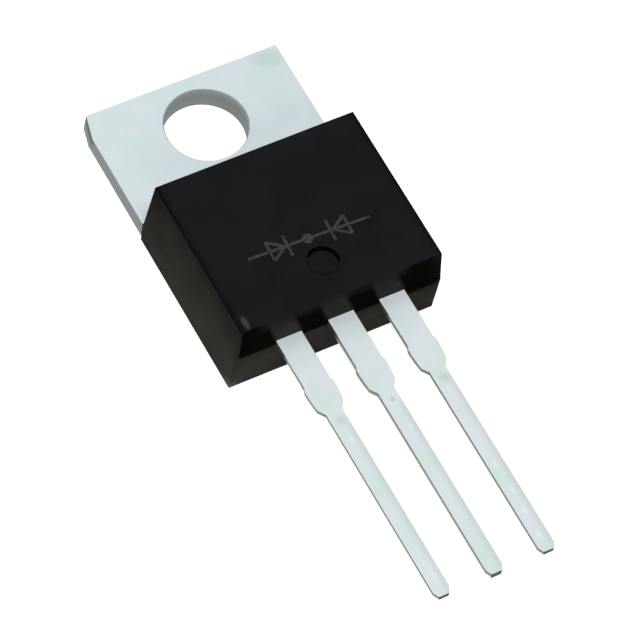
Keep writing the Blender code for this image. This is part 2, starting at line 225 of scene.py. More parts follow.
@dataclass(frozen=True, kw_only=True)
class Finish(NodeSheet):
    """A procedural material with grain. Each kind has its measures as fields and paints itself."""

    name: str
    roughness: Point
    grain_mm: float
    cloud_mm: float
    metallic: float = 0.0
    specular: float = 0.0
    bump_depth: float = 0.0
    bump_strength: float = 0.0

    @cached_property
    def material(self) -> Material:
        """The material, made when it is first used."""
        return bpy.data.materials.new(self.name)

    @cached_property
    def tree(self) -> NodeTree:
        """The material's node tree, emptied."""
        self.material.use_nodes = True
        self.material.node_tree.nodes.clear()
        return self.material.node_tree

    @cached_property
    def position(self) -> Socket:
        """The place on the model."""
        return self.add("ShaderNodeTexCoord").outputs["Object"]

    @cached_property
    def place(self) -> dict[str, Socket]:
        """The coordinates of the place, by axis."""
        return dict(self.add("ShaderNodeSeparateXYZ", {0: self.position}).outputs.items())

    def painted(self, grain: Socket, cloud: Socket) -> Socket:
        """The kind's colour, from its fine grain and slow cloudiness of 0 to 1."""
        raise NotImplementedError(self.name)

    def build(self) -> Material:
        """Feeds a Principled shader with the kind's colour and grain.

        Returns:
            The finished material.
        """
        sizes = {"Grain Size": self.grain_mm, "Cloud Size": self.cloud_mm}
        noise = self.add(
            "ShaderNodeGroup", node_tree=grain_group(), values={"Position": self.position, **sizes}
        ).outputs
        grain, cloud = noise["Grain"], noise["Cloud"]
        values = {
            "Base Color": self.painted(grain, cloud),
            "Roughness": self.varied(grain, *self.roughness),
            "Metallic": self.metallic,
            "Specular IOR Level": self.specular,
        }
        if self.bump_strength:
            pits = {"Height": grain, "Distance": self.bump_depth, "Strength": self.bump_strength}
            values["Normal"] = self.add("ShaderNodeBump", pits).outputs[0]
        shader = self.add("ShaderNodeBsdfPrincipled", values)
        self.add("ShaderNodeOutputMaterial", {"Surface": shader.outputs[0]})
        return self.material

    def wall(self, softness: float) -> Socket:
        """The mask of walls.

        Args:
            softness: How gradually a round edge goes from flat to wall.

        Returns:
            The mask's socket.
        """
        normal = self.add("ShaderNodeNewGeometry").outputs["Normal"]
        values = {"Normal": normal, "Softness": softness}
        return self.add("ShaderNodeGroup", values, node_tree=wall_group()).outputs["Wall"]

    def along(self, axis: str, span: Point, first: float = 0.0, last: float = 1.0) -> Socket:
        """Maps the place along an axis from a span to first and last."""
        return self.ramp(self.place[axis], *span, first, last)

    def varied(self, noise: Socket, low: float, high: float) -> Socket:
        """Maps the range that a noise mostly keeps to, from low to high."""
        return self.ramp(noise, *NOISE_SPAN, low, high)

    def square_from(
        self, place: Sequence[float], size: Sequence[float] = (1.0, 1.0, 1.0)
    ) -> Socket:
        """The squared distance from a place.

        Args:
            place: Two or three coordinates.
            size: Unit of length along each axis.

        Returns:
            The squared distance's socket.
        """
        square: object = 0.0
        for axis, middle, unit in zip("XYZ", place, size):
            offset = self.math("SUBTRACT", self.place[axis], middle)
            step = self.math("DIVIDE", offset, unit)
            square = self.math("MULTIPLY_ADD", step, step, square)
        return square


# Finishes


@dataclass(frozen=True, kw_only=True)
class SparkedEpoxy(Finish):
    """Epoxy from a spark-eroded mould: matte, finely pitted and browner on its walls, with painted
    light making the walls paler than the front, most of all low down.
    """

    name: str = "sparked_epoxy"
    front: Colour = (0.0118, 0.0123, 0.0134)
    front_level: float = 4.4 * MM
    front_rim: Point = (4.64 * MM, 4.84 * MM)
    rim_shade: float = 0.6
    # Painted light: the walls are paler than the front face, as the light falls on them.
    walls: Colour = (0.0405, 0.0385, 0.0335)
    wall_softness: float = 0.15
    wall_levels: Point = (0.9 * MM, 4.4 * MM)
    wall_top_shade: float = 0.48
    far_wall: Point = (5.0 * MM, 8.0 * MM)
    far_wall_shade: float = 0.8
    lead_end: Point = (-0.30 * MM, -0.15 * MM)
    lead_end_shade: float = 0.84
    roughness: Point = (0.50, 0.66)
    grain_mm: float = 0.045
    cloud_mm: float = 1.8
    cloud_tone: Point = (0.86, 1.14)
    speck_span: Point = (0.35, 0.75)
    speck_tone: Point = (0.85, 1.25)
    bump_depth: float = 0.004 * MM
    bump_strength: float = 0.6
    # A painted highlight beside the front face's corner.
    face_highlight_place: Point = (-4.54 * MM, 0.08 * MM)
    face_highlight_size: Point = (0.17 * MM, 0.44 * MM)
    face_highlight_fray: float = 1.6
    face_highlight_gain: float = 4.4
    # Painted shade under the right end of the step.
    step_shade_levels: Point = (2.36 * MM, 2.48 * MM)
    step_shade_left: Point = (3.0 * MM, 3.2 * MM)
    step_shade_right: Point = (4.75 * MM, 4.92 * MM)
    step_shade_wall: float = -0.4 * MM
    step_shade_tone: float = 0.2
    # A painted highlight at the foot of the corner at the leads.
    corner_highlight_place: Place = (-5.08 * MM, -0.29 * MM, 0.0)
    corner_highlight_reach: float = 0.85 * MM
    corner_highlight_gain: float = 3.0

    def corner_highlight(self) -> Socket:
        """A painted highlight at the foot of the moulding's corner at the leads.

        Returns:
            A factor for the walls' colour, 1 away from the corner.
        """
        away = self.math("SQRT", self.square_from(self.corner_highlight_place))
        near = self.ramp(away, 0.0, self.corner_highlight_reach, 1.0, 0.0)
        return self.math("MULTIPLY_ADD", self.product(near, near), self.corner_highlight_gain, 1.0)

    def face_highlight(self, grain: Socket) -> Socket:
        """A small painted highlight beside the corner of the front face.

        Args:
            grain: The fine grain, which frays the spot's outline.

        Returns:
            A factor for the colour, 1 away from the spot.
        """
        spread = self.square_from(self.face_highlight_place, self.face_highlight_size)
        frayed = self.math("MULTIPLY_ADD", grain, self.face_highlight_fray, -self.face_highlight_fray / 2)
        below = self.math("LESS_THAN", self.place["Z"], self.front_level)
        spread = self.math("ADD", self.math("ADD", spread, frayed), below)
        return self.ramp(spread, 0.0, 1.0, self.face_highlight_gain, 1.0)

    def step_shade(self) -> Socket:
        """Painted shade: a black patch on the lower wall at the leads, under the right end of the
        step.

        Returns:
            A factor for the walls' colour, 1 away from the smear.
        """
        amount = self.product(
            self.along("X", self.step_shade_left),
            self.along("X", self.step_shade_right, 1.0, 0.0),
            self.along("Z", self.step_shade_levels),
            self.math("LESS_THAN", self.place["Y"], self.step_shade_wall),
        )
        return self.ramp(amount, 0.0, 1.0, 1.0, self.step_shade_tone)

    def face_and_walls(self) -> Socket:
        """The two colours, with painted light and shade: the walls paler than the front face but
        painted darker higher up, towards the tab and on the end at the leads, and the front face
        painted darker beside its sides.

        Returns:
            The colour's socket.
        """
        across = self.math("ABSOLUTE", self.place["X"])
        # Painted shade: the front face darkens beside its sides, next to the dark edge.
        front = self.scaled(self.front, self.ramp(across, *self.front_rim, 1.0, self.rim_shade))
        # Painted shade on the walls: darker higher up, towards the tab and on the end at the leads,
        # with the painted shade under the step and the painted highlight at the corner.
        tone = self.product(
            self.along("Z", self.wall_levels, 1.0, self.wall_top_shade),
            self.along("Y", self.far_wall, 1.0, self.far_wall_shade),
            self.along("Y", self.lead_end, self.lead_end_shade, 1.0),
            self.step_shade(),
            self.corner_highlight(),
        )
        walls = self.scaled(self.walls, tone)
        return self.blend(self.wall(self.wall_softness), front, walls)

    def painted(self, grain: Socket, cloud: Socket) -> Socket:
        """The face and walls, clouded, specked and with a small painted highlight on the face."""
        tone = self.product(
            self.varied(cloud, *self.cloud_tone),
            self.ramp(grain, *self.speck_span, *self.speck_tone),
            self.face_highlight(grain),
        )
        return self.scaled(self.face_and_walls(), tone)


@dataclass(frozen=True, kw_only=True)
class PaintedBlackEpoxy(Finish):
    """Epoxy from a polished part of the mould, deep black, with its reflections painted: near-black
    for the dark surroundings it mirrors, and paler in a band above each lead for the lead's
    reflection.
    """

    name: str = "polished_epoxy"
    colour: Colour = (0.0034, 0.0029, 0.0021)
    lead_reflections: Colour = (0.0258, 0.0250, 0.0258)
    top: Colour = (0.0100, 0.0103, 0.0110)
    roughness: Point = (0.25, 0.35)
    grain_mm: float = 0.06
    cloud_mm: float = 1.2
    cloud_tone: Point = (0.8, 1.2)
    half_band: float = 0.62 * MM
    band_edge: float = 0.24 * MM
    band_lean: float = 0.355
    band_foot: float = 2.94 * MM
    band_levels: Point = (3.5 * MM, 4.4 * MM)
    band_fade: float = 0.6
    top_levels: Point = (3.85 * MM, 4.38 * MM)
    top_left: Point = (-4.3 * MM, -3.8 * MM)
    top_right: Point = (3.0 * MM, 3.4 * MM)
    right_end: Point = (4.35 * MM, 4.95 * MM)
    end_gain: float = 2.4

    def band(self) -> Socket:
        """The leads' painted reflections: leaning stripes, one above each lead.

        Returns:
            1 in a band and 0 between them.
        """
        rise = self.math("SUBTRACT", self.place["Z"], self.band_foot)
        across = self.math("MULTIPLY_ADD", rise, self.band_lean, self.place["X"])
        nearest = self.math("ROUND", self.math("DIVIDE", across, PITCH))
        inner = self.math("MINIMUM", self.math("MAXIMUM", nearest, -1.0), 1.0)
        away = self.math("ABSOLUTE", self.math("MULTIPLY_ADD", inner, -PITCH, across))
        edge = self.band_edge / 2
        side = self.ramp(away, self.half_band - edge, self.half_band + edge, 1.0, 0.0)
        return self.product(side, self.ramp(rise, -edge, edge))

    def under_front(self) -> Socket:
        """The strip under the front face, where the painted black gives way to a tone like the
        face's.

        Returns:
            1 at the top of the wall, and 0 low down, at the left corner and short of the right one.
        """
        inner = self.along("X", self.top_right, 1.0, 0.0)
        right = self.math("MAXIMUM", inner, self.along("X", self.right_end))
        return self.product(
            self.along("Z", self.top_levels), self.along("X", self.top_left), right
        )

    def painted(self, grain: Socket, cloud: Socket) -> Socket:
        """The painted black, the leads' painted reflections and the strip under the front face."""
        lead_reflections = self.scaled(self.lead_reflections, self.along("Z", self.band_levels, 1.0, self.band_fade))
        # The painted black grows paler towards the right end of the wall.
        black = self.scaled(self.colour, self.along("X", self.right_end, 1.0, self.end_gain))
        between = self.blend(self.under_front(), black, rgba(self.top))
        colour = self.blend(self.band(), between, lead_reflections)
        return self.scaled(colour, self.varied(cloud, *self.cloud_tone))


@dataclass(frozen=True)
class Smudge:
    """A soft dark spot on the tin, a smudge or nick, or a painted gleam if its darkness is
    negative.
    """

    place: Point
    radius: float
    darkness: float
    stretch: float = 1.0
    core: float = 0.2

    @classmethod
    def at_each(
        cls, places: Iterable[Point], radius_mm: float, darkness: float, **more: float
    ) -> tuple["Smudge", ...]:
        """Spots of one kind, smudge marks or painted gleams, at several places, which are in
        millimetres.
        """
        return tuple(cls((x * MM, y * MM), radius_mm * MM, darkness, **more) for x, y in places)


@dataclass(frozen=True, kw_only=True)
class MatteTin(Finish):
    """Matte tin plate: pale and softly mottled on top, darker on the sheared sides.

    Beside the moulding it is painted brighter: painted light that offsets the moulding's shade
    there.
    """

    moulding_strip: Point
    painted_light_gain: float
    side_fade: Point = (-4.80 * MM, -4.05 * MM)
    top: Colour = (0.572, 0.683, 0.680)
    cast: Colour = (0.602, 0.668, 0.703)
    sides: Colour = (0.215, 0.238, 0.231)
    outer_side_shade: float = 0.81
    wall_softness: float = 0.25
    metallic: float = 0.45
    roughness: Point = (0.42, 0.54)
    specular: float = 0.1
    grain_mm: float = 0.05
    cloud_mm: float = 1.6
    cast_span: Point = (0.4, 0.6)
    mottle: Point = (0.975, 1.02)
    speck: Point = (0.97, 1.03)
    bump_depth: float = 0.002 * MM
    bump_strength: float = 0.5
    smudges_and_gleams: tuple[Smudge, ...] = ()
    burnish: Colour = (0.80, 0.82, 0.82)
    burnish_levels: Point | None = None
    burnish_from: Point = (-1.2 * MM, -1.6 * MM)
    burnish_end: Point = (-14.40 * MM, -14.36 * MM)
    unburnished: float = 0.20
    rounded_levels: Point = (2.83 * MM, 2.91 * MM)
    bare_corner: bool = False
    bare_from: Point = (12.95 * MM, 13.2 * MM)
    bare_across: Point = (-4.66 * MM, -4.60 * MM)
    bare_levels: Point = (0.55 * MM, 0.85 * MM)
    torn: tuple[float, float, float, float] = (0.35, 0.6, 0.8, 1.0)
    copper: Colour = (0.050, 0.043, 0.042)
    edge_shade_loss: float = 0.0
    edge_shade_across: Point = (0.03 * MM, 0.30 * MM)
    edge_shade_from: Point = (-5.1 * MM, -5.9 * MM)

    def beside_moulding(self) -> Socket:
        """The strip beside the moulding: 1 at the moulding and 0 at the strip's end."""
        return self.along("Y", self.moulding_strip, 1.0, 0.0)

    def painted_light_near_moulding(self) -> Socket:
        """Painted light beside the moulding, offsetting its shade, faded out at the tab's left
        side.

        Returns:
            A factor for the colour.
        """
        near = self.beside_moulding()
        inner = self.along("X", self.side_fade, 0.0, self.painted_light_gain)
        return self.math("MULTIPLY_ADD", self.product(near, near), inner, 1.0)

    def right_edge_shade(self) -> Socket:
        """Painted shade on the narrow leads towards the punch's roll-over side, where the round
        edge tilts away from the light.

        Returns:
            A factor for the colour.
        """
        lead = self.math("ROUND", self.math("DIVIDE", self.place["X"], PITCH))
        across = self.math("MULTIPLY_ADD", lead, -PITCH, self.place["X"])
        side = self.ramp(across, *self.edge_shade_across)
        share = self.product(side, self.along("Y", self.edge_shade_from))
        return self.math("MULTIPLY_ADD", share, -self.edge_shade_loss, 1.0)

    def smudged_and_gleaming(self) -> Socket | float:
        """How much the smudge marks darken, and the painted gleams lighten, the colour.

        Returns:
            A factor for the colour.
        """
        left: Socket | float = 1.0
        for spot in self.smudges_and_gleams:
            away = self.math("SQRT", self.square_from(spot.place, (1.0, spot.stretch)))
            core = spot.core * spot.radius
            kept = self.ramp(away, core, spot.radius, 1.0 - spot.darkness, 1.0)
            left = self.product(left, kept)
        return left

    def sheared(self) -> Socket:
        """The sheared sides, on the leads with a burnished foot and a rounded top, on the tab with
        painted shade on its outer side.

        Returns:
            The sides' colour.
        """
        if self.burnish_levels is None:
            # Painted shade: the tab's outer side is darker than the screw hole's wall.
            outer = self.along("X", self.side_fade, self.outer_side_shade, 1.0)
            return self.scaled(self.sides, outer)
        free = self.product(
            self.along("Y", self.burnish_from), self.along("Y", self.burnish_end)
        )
        tone = self.math("MULTIPLY_ADD", free, 1.0 - self.unburnished, self.unburnished)
        foot = self.product(self.along("Z", self.burnish_levels, 1.0, 0.0), free)
        rounded = self.product(self.along("Z", self.rounded_levels), free)
        side = self.blend(foot, self.scaled(self.sides, tone), rgba(self.burnish))
        return self.blend(rounded, side, rgba(self.top))

    def bared(self, grain: Socket) -> Socket:
        """The copper bare under the top edge of the tab's cut corner.

        Args:
            grain: The fine grain, along which the tin is torn.

        Returns:
            How bare the copper is.
        """
        return self.product(
            self.along("Y", self.bare_from),
            self.along("X", self.bare_across, 1.0, 0.0),
            self.along("Z", self.bare_levels),
            self.ramp(grain, *self.torn),
            self.wall(self.wall_softness),
        )

    def painted(self, grain: Socket, cloud: Socket) -> Socket:
        """The tin's colour and its tone."""
        clouds = self.ramp(cloud, *self.cast_span)
        hue = self.math("MAXIMUM", clouds, self.beside_moulding())
        face = self.blend(hue, rgba(self.top), rgba(self.cast))
        colour = self.blend(self.wall(self.wall_softness), face, self.sheared())
        if self.bare_corner:
            colour = self.blend(self.bared(grain), colour, rgba(self.copper))
        tone = self.product(
            self.varied(cloud, *self.mottle),
            self.varied(grain, *self.speck),
            self.smudged_and_gleaming(),
            self.painted_light_near_moulding(),
        )
        if self.edge_shade_loss:
            tone = self.product(tone, self.right_edge_shade())
        return self.scaled(colour, tone)


@dataclass(frozen=True, kw_only=True)
class PlainFinish(Finish):
    """One colour with grain: the laser's mark, or a surface sealed inside the moulding."""

    colour: Colour
    specular: float = 0.5
    grain_mm: float = 0.04
    cloud_mm: float = 0.6
    grain_tone: Point = (0.9, 1.1)
    cloud_tone: Point = (0.92, 1.06)

    def painted(self, grain: Socket, cloud: Socket) -> Socket:
        """The one colour and its tone."""
        tone = self.product(
            self.varied(grain, *self.grain_tone), self.varied(cloud, *self.cloud_tone)
        )
        return self.scaled(self.colour, tone)


def tab_tin() -> MatteTin:
    """The tab's tin, with a thumb's smudge marks."""
    thumb = Smudge.at_each(((3.70, 14.10), (4.15, 13.85), (4.55, 13.75)), 0.62, 0.06)
    return MatteTin(
        name="tab_tin", moulding_strip=(9.4 * MM, 11.4 * MM), painted_light_gain=0.24, smudges_and_gleams=thumb,
        bare_corner=True,
    )


def lead_tin() -> MatteTin:
    """The leads' tin, nicked at the trimmed dam bar, with painted gleams of light in small spots.
    """
    nicks = Smudge.at_each(((-2.51, -5.17), (2.60, -5.17)), 0.34, 0.14)
    fleck = Smudge.at_each(((0.02, -5.18),), 0.17, 0.24)
    # Painted highlights: small gleams along the narrow leads.
    on_right = ((2.47, -13.62), (2.49, -12.30), (2.53, -11.20), (2.45, -9.85))
    elsewhere = ((-2.50, -13.45), (-2.53, -6.12), (0.12, -6.65))
    gleams = Smudge.at_each(on_right + elsewhere, 0.14, -0.10, stretch=1.9)
    return MatteTin(
        name="lead_tin",
        moulding_strip=(-0.36 * MM, -2.2 * MM),
        painted_light_gain=0.34,
        top=(0.640, 0.752, 0.732),
        cast=(0.676, 0.732, 0.763),
        metallic=0.2,
        sides=(0.21, 0.21, 0.21),
        smudges_and_gleams=nicks + fleck + gleams,
        burnish_levels=(2.64 * MM, 2.72 * MM),
        edge_shade_loss=0.11,
    )


def make_finishes() -> Finishes:
    """Builds every finish of the package once.

    Returns:
        The materials by name.
    """
    # Near-black copies that paint shade: on the front face's side edges and on one side of the
    # ejector mark's wall.
    blacks = (
        ("polished_edge", (0.0050, 0.0049, 0.0048)),
        ("pin_wall", (0.0018, 0.0018, 0.0017)),
    )
    sealed = (
        ("die_silicon", (0.12, 0.12, 0.14), (0.16, 0.24), 0.6),
        ("soft_solder", (0.45, 0.45, 0.46), (0.32, 0.48), 1.0),
        ("bond_aluminium", (0.80, 0.80, 0.82), (0.20, 0.30), 1.0),
    )
    mark = PlainFinish(
        name="laser_mark", colour=(0.047, 0.049, 0.046), roughness=(0.75, 0.95), specular=0.1,
        grain_mm=0.09, cloud_mm=0.45, grain_tone=(0.5, 1.4), cloud_tone=(0.7, 1.3),
    )
    kinds = [SparkedEpoxy(), PaintedBlackEpoxy(), tab_tin(), lead_tin(), mark]
    for name, black in blacks:
        kinds.append(PaintedBlackEpoxy(name=name, colour=black, lead_reflections=black, top=black))
    for name, colour, roughness, metallic in sealed:
        kinds.append(
            PlainFinish(name=name, colour=colour, roughness=roughness, metallic=metallic)
        )
    return {kind.name: kind.build() for kind in kinds}


# Mesh helpers


def new_piece(name: str, mesh: Mesh) -> Object:
    """Links an object that holds this mesh at the origin.

    Args:
        name: The piece's name.
        mesh: Its mesh, in the model's frame.

    Returns:
        The object.
    """
    piece = bpy.data.objects.new(name, mesh)
    bpy.context.scene.collection.objects.link(piece)
    return piece


def piece_from(shape: BMesh, name: str, *materials: Material) -> Object:
    """Turns an edited shape into a piece.

    Args:
        shape: The shape, which is freed.
        name: Name of the piece and its mesh.
        *materials: The mesh's materials, in the order of its slots.

    Returns:
        The piece.
    """
    mesh = bpy.data.meshes.new(name)
    shape.to_mesh(mesh)
    shape.free()
    for material in materials:
        mesh.materials.append(material)
    return new_piece(name, mesh)


def evaluated_mesh(source: Object, name: str) -> Mesh:
    """The mesh that an object's modifiers give.

    Args:
        source: The object.
        name: Name of the new mesh.

    Returns:
        A plain mesh without modifiers.
    """
    bpy.context.view_layer.update()
    graph = bpy.context.evaluated_depsgraph_get()
    mesh = bpy.data.meshes.new_from_object(source.evaluated_get(graph))
    mesh.name = name
    return mesh


def welded(mesh: Mesh) -> BMesh:
    """A mesh opened for editing, with the points joined that lie all but in one place.

    Args:
        mesh: The mesh.

    Returns:
        Its shape.
    """
    shape = bmesh.new()
    shape.from_mesh(mesh)
    bmesh.ops.remove_doubles(shape, verts=shape.verts, dist=WELD)
    return shape


def smooth(mesh: Mesh, degrees: float) -> None:
    """Shades a mesh smooth up to an angle."""
    mesh.shade_smooth()
    mesh.set_sharp_from_angle(angle=math.radians(degrees))


def settle_normals(piece: Object) -> None:
    """Weights the shading by face area, so that flat faces stay flat beside round edges.

    Args:
        piece: The object whose mesh is replaced by its weighted copy.
    """
    modifier = piece.modifiers.new("weighted", "WEIGHTED_NORMAL")
    modifier.keep_sharp = True
    modifier.weight = FACE_WEIGHT
    mesh = evaluated_mesh(piece, piece.data.name)
    piece.modifiers.remove(modifier)
    piece.data = mesh


def bevel(
    shape: BMesh,
    chosen: Callable[[BMEdge], bool],
    radius: float,
    segments: int,
    clamp: bool = True,
    material: Surface = Surface.SPARKED,
) -> None:
    """Rounds the edges for which a test is true.

    Args:
        shape: The shape to work on.
        chosen: The test.
        radius: How far the round reaches from the edge.
        segments: Number of faces across it.
        clamp: Whether the rounds stop where they would meet.
        material: The new faces' surface.
    """
    edges = [edge for edge in shape.edges if chosen(edge)]
    bmesh.ops.bevel(
        shape, geom=edges, offset=radius, segments=segments, profile=0.5, affect="EDGES",
        clamp_overlap=clamp, material=material.value,
    )


# The moulding


@dataclass
class Moulding:
    """The epoxy block: drafted walls, an ejector pin's mark and a window for the metal back."""

    back_width: float = 10.20 * MM
    side_draft: float = 0.18 * MM
    height: float = 4.5 * MM
    length: float = 8.80 * MM
    start: float = -0.59 * MM
    tab_level: float = 1.15 * MM
    parting: float = 2.71 * MM
    front_setback: float = 0.23 * MM
    step_back: float = 0.024 * MM
    step_rise: float = 0.09 * MM
    back_setback: float = 0.30 * MM
    tab_wall_draft: float = 0.37 * MM
    edge_break: float = 0.09 * MM
    corner_round: float = 0.05 * MM
    round_segments: int = 4
    pin_radius: float = 0.75 * MM
    pin_depth: float = 0.2 * MM
    pin_from_leads: float = 2.05 * MM
    pin_foot: float = 0.09 * MM
    pin_sides: int = 72
    pin_ring: Point = (0.7, 1.01)
    # The side of the ejector mark's wall that gets painted shade.
    pin_shade_side: Point = (0.57, 0.82)
    pin_shade_reach: float = 0.25
    window_half: float = 3.92 * MM
    window_start: float = 1.99 * MM
    window_top: float = 1.17 * MM
    cutter_spare: float = 1 * MM
    smooth_below: float = 32.0

    def walls(self, level: float) -> tuple[float, float, float]:
        """Where the drafted walls stand.

        Args:
            level: Height above the back.

        Returns:
            Half the width, and the two ends along Y from the edge at the leads.
        """
        half = self.back_width / 2 - self.side_draft * level / self.height
        above_tab = max(level - self.tab_level, 0.0) / (self.height - self.tab_level)
        above = max(level - self.parting, 0.0) / (self.height - self.parting)
        below = max(self.parting - level, 0.0) / self.parting
        step = self.step_back * min(max(level - self.parting, 0.0) / self.step_rise, 1.0)
        near = step + (self.front_setback - self.step_back) * above + self.back_setback * below
        return half, near, self.length - self.tab_wall_draft * above_tab

    def block(self) -> BMesh:
        """The drafted block with square edges.

        Returns:
            A mesh with one ring of corners at each level where a draft begins.
        """
        levels = (0.0, self.tab_level, self.parting, self.parting + self.step_rise, self.height)
        rings = len(levels) - 1
        shape = bmesh.new()
        bmesh.ops.create_cube(shape, size=1.0)
        for cut in range(1, rings):
            bmesh.ops.bisect_plane(
                shape,
                geom=shape.verts[:] + shape.edges[:] + shape.faces[:],
                plane_co=(0, 0, cut / rings - 0.5),
                plane_no=(0, 0, 1),
            )
        for corner in shape.verts:
            level = levels[round((corner.co.z + 0.5) * rings)]
            half, near, far = self.walls(level)
            along = far if corner.co.y > 0 else near
            corner.co = (math.copysign(half, corner.co.x), self.start + along, level)
        return shape

    def break_edges(self, shape: BMesh) -> None:
        """Rounds the standing corners and breaks the edges of the front face.

        Args:
            shape: The block.
        """
        def standing(edge: BMEdge) -> bool:
            """Whether an edge stands upright."""
            return abs(edge.verts[0].co.z - edge.verts[1].co.z) > self.step_rise / 2

        def front(edge: BMEdge) -> bool:
            """Whether an edge lies in the front face."""
            return min(vert.co.z for vert in edge.verts) > self.height - 0.01 * MM

        bevel(shape, standing, self.corner_round, self.round_segments)
        # The front face's broken edges get the near-black edge shade: painted shade of the rounded
        # edges.
        bevel(
            shape, front, self.edge_break, self.round_segments, material=Surface.EDGE_SHADE
        )

    def mark_walls(self, shape: BMesh) -> None:
        """Keeps the painted edge shade on the side edges only, and gives the upper wall at the
        leads the polished finish with its painted black and painted lead reflections.

        Args:
            shape: The block with its edges broken.
        """
        for face in shape.faces:
            centre = face.calc_center_median()
            sideways = abs(face.normal.x)
            if sideways < 0.15:
                face.material_index = Surface.SPARKED.value
            if face.normal.y < -0.3 and centre.z > self.parting and sideways < 0.3:
                face.material_index = Surface.POLISHED_WALL.value

    def paint_ejector_shade(self, mesh: Mesh) -> None:
        """Painted shade: blackens the side of the ejector mark's wall towards the tab and the
        right.

        Args:
            mesh: The moulding's mesh with its mark cut.
        """
        middle = Vector((0, self.start + self.pin_from_leads))
        inner, outer = (share * self.pin_radius for share in self.pin_ring)
        floor = self.height - self.pin_depth * 1.01
        for face in mesh.polygons:
            away = Vector(face.center[:2]) - middle
            on_shaded_side = away.dot(Vector(self.pin_shade_side)) > away.length * self.pin_shade_reach
            wall = face.center.z > floor and face.normal.z < 0.98
            if inner < away.length < outer and on_shaded_side and wall:
                face.material_index = Surface.EJECTOR_SHADE.value

    def pin_cutter(self) -> Object:
        """The ejector pin's end, with a small round at its foot.

        Returns:
            A closed cutter object.
        """
        shape = bmesh.new()
        bmesh.ops.create_cone(
            shape, cap_ends=True, segments=self.pin_sides, radius1=self.pin_radius,
            radius2=self.pin_radius, depth=self.pin_depth + self.cutter_spare,
        )
        bevel(
            shape, lambda edge: max(vert.co.z for vert in edge.verts) < 0, self.pin_foot, 3,
            clamp=False,
        )
        middle = self.height + (self.cutter_spare - self.pin_depth) / 2
        place = Matrix.Translation((0, self.start + self.pin_from_leads, middle))
        bmesh.ops.transform(shape, matrix=place, verts=shape.verts)
        return piece_from(shape, "pin_cutter")

    def window_cutter(self) -> Object:
        """The room of the tab's metal back, which lies level with the moulding's back.

        Returns:
            A closed cutter object that also opens the wall at the tab.
        """
        low = Vector((-self.window_half, self.window_start, -self.cutter_spare))
        high = Vector((self.window_half, self.length + self.cutter_spare, self.window_top))
        place = Matrix.Translation((low + high) / 2) @ Matrix.Diagonal((*(high - low), 1.0))
        shape = bmesh.new()
        bmesh.ops.create_cube(shape, size=1.0, matrix=place)
        return piece_from(shape, "window_cutter")

    def build(self, finishes: Finishes) -> Object:
        """Makes the block and dresses it.

        Args:
            finishes: The package's materials.

        Returns:
            The piece that stands for the CAD moulding.
        """
        shape = self.block()
        self.break_edges(shape)
        self.mark_walls(shape)
        slots = ("sparked_epoxy", "polished_epoxy", "polished_edge", "pin_wall")
        piece = piece_from(shape, "moulding", *(finishes[name] for name in slots))
        cutters = (self.pin_cutter(), self.window_cutter())
        for cutter in cutters:
            cut = piece.modifiers.new(cutter.name, "BOOLEAN")
            cut.operation = "DIFFERENCE"
            cut.solver = "EXACT"
            cut.object = cutter
        piece.data = evaluated_mesh(piece, "moulding")
        piece.modifiers.clear()
        for cutter in cutters:
            bpy.data.objects.remove(cutter)
        shape = welded(piece.data)
        shape.to_mesh(piece.data)
        shape.free()
        self.paint_ejector_shade(piece.data)
        smooth(piece.data, self.smooth_below)
        settle_normals(piece)
        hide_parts("moulded_body")
        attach(piece, "root")
        return piece


# Tin-plated stampings


@dataclass
class Stamping:
    """A tin-plated copper stamping: the CAD solid with the worn edges that a die leaves."""

    node: str
    name: str
    edge_round: float = 0.035 * MM
    foot_round: float = 0.035 * MM
    segments: int = 3
    tab_start: float = 8.0 * MM
    hole_place: Point = (-0.04 * MM, 11.79 * MM)
    hole_radius: float = 1.93 * MM
    hole_lean: Point = (-0.050 * MM, -0.055 * MM)
    flat_below: float = 0.5
    sharp_above: float = 50.0
    smooth_below: float = 40.0

    def merged(self, source: Object) -> BMesh:
        """A joined copy of the CAD node's loose triangles.

        Args:
            source: The CAD node's object.

        Returns:
            The copy, with its flat faces whole.
        """
        shape = welded(source.data)
        flat = math.radians(self.flat_below)
        bmesh.ops.dissolve_limit(shape, angle_limit=flat, verts=shape.verts, edges=shape.edges)
        return shape

    def lean_hole(self, shape: BMesh) -> None:
        """Moves the screw hole's rim at the back a little aside, as a leaning punch leaves it.

        Args:
            shape: The merged copy.
        """
        axis = Vector(self.hole_place)
        for vert in shape.verts:
            away = (vert.co.xy - axis).length
            if vert.co.z < self.edge_round and abs(away - self.hole_radius) < self.edge_round:
                vert.co.xy += Vector(self.hole_lean)

    def round_edges(self, shape: BMesh) -> None:
        """Rounds the sharp outward edges, those of the underside by their own radius.

        Args:
            shape: The merged copy.
        """
        limit = math.radians(self.sharp_above)

        def sharp(edge: BMEdge) -> bool:
            """Whether an edge is outward and sharp."""
            return len(edge.link_faces) == 2 and edge.calc_face_angle_signed() > limit

        def under(edge: BMEdge) -> bool:
            """Whether a sharp edge borders the underside."""
            return sharp(edge) and min(face.normal.z for face in edge.link_faces) < -0.9

        bevel(shape, under, self.foot_round, self.segments)
        bevel(shape, sharp, self.edge_round, self.segments)

    def build(self, finishes: Finishes) -> Object:
        """Makes the stamping and dresses it.

        Args:
            finishes: The package's materials.

        Returns:
            The piece that stands for the CAD node.
        """
        shape = self.merged(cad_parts[self.node])
        self.lean_hole(shape)
        self.round_edges(shape)
        for face in shape.faces:
            face.material_index = int(face.calc_center_median().y > self.tab_start)
        piece = piece_from(shape, self.name, finishes["lead_tin"], finishes["tab_tin"])
        smooth(piece.data, self.smooth_below)
        settle_normals(piece)
        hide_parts(self.node)
        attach(piece, "root")
        return piece


# The marking


